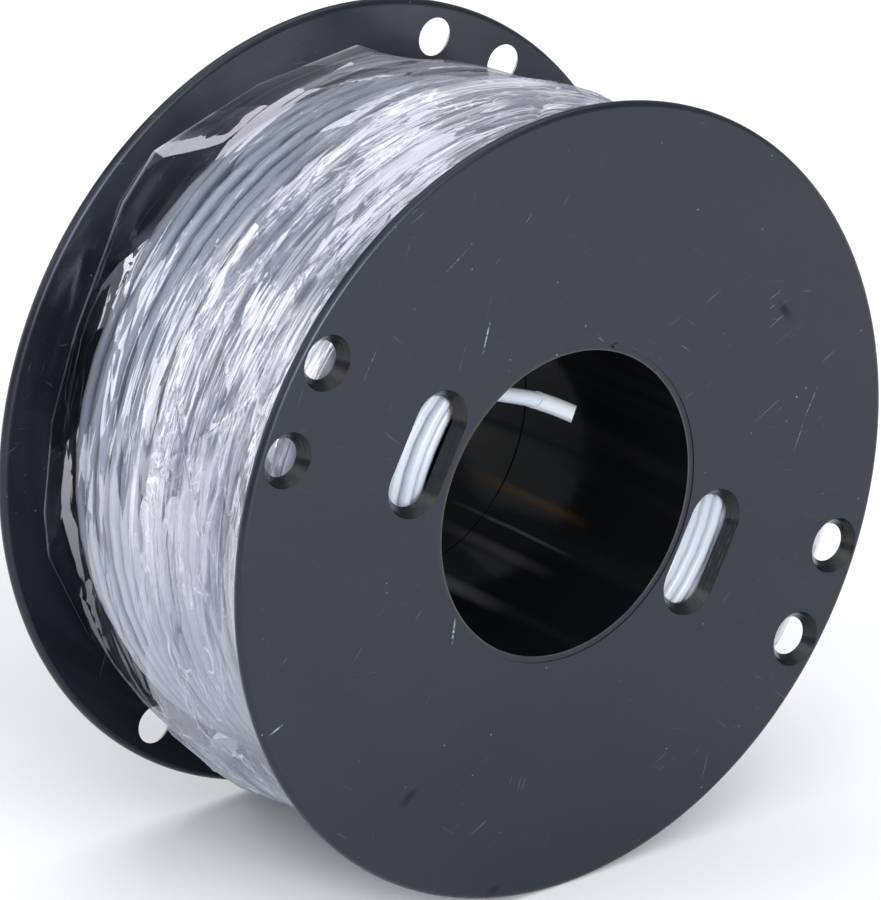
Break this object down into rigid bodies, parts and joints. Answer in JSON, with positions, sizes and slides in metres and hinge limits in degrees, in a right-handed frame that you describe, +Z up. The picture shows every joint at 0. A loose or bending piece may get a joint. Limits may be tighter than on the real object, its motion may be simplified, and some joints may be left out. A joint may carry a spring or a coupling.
{
  "type": "string reel",
  "caption": "Plastic reel full of round string, with two flanges, a wide open bore, flared slots and holes in each flange, and clear stretch film round the winding.",
  "frame": {"origin": "on the reel's axis, halfway between the outer faces of the flanges", "axes": "+Y along the reel's axis, from the front flange to the rear one; +Z up"},
  "size_m": [0.1598, 0.075, 0.1598],
  "materials": {
    "reel_plastic": "satin",
    "string": "satin",
    "sleeve": "satin",
    "film": "glossy"
  },
  "bodies": {
    "root": {"front_reel_half": "reel_plastic", "rear_reel_half": "reel_plastic", "string_winding": "string", "string_inner_end": "string", "string_end_sleeve": "sleeve", "stretch_film": "film"}
  },
  "joints": []
}
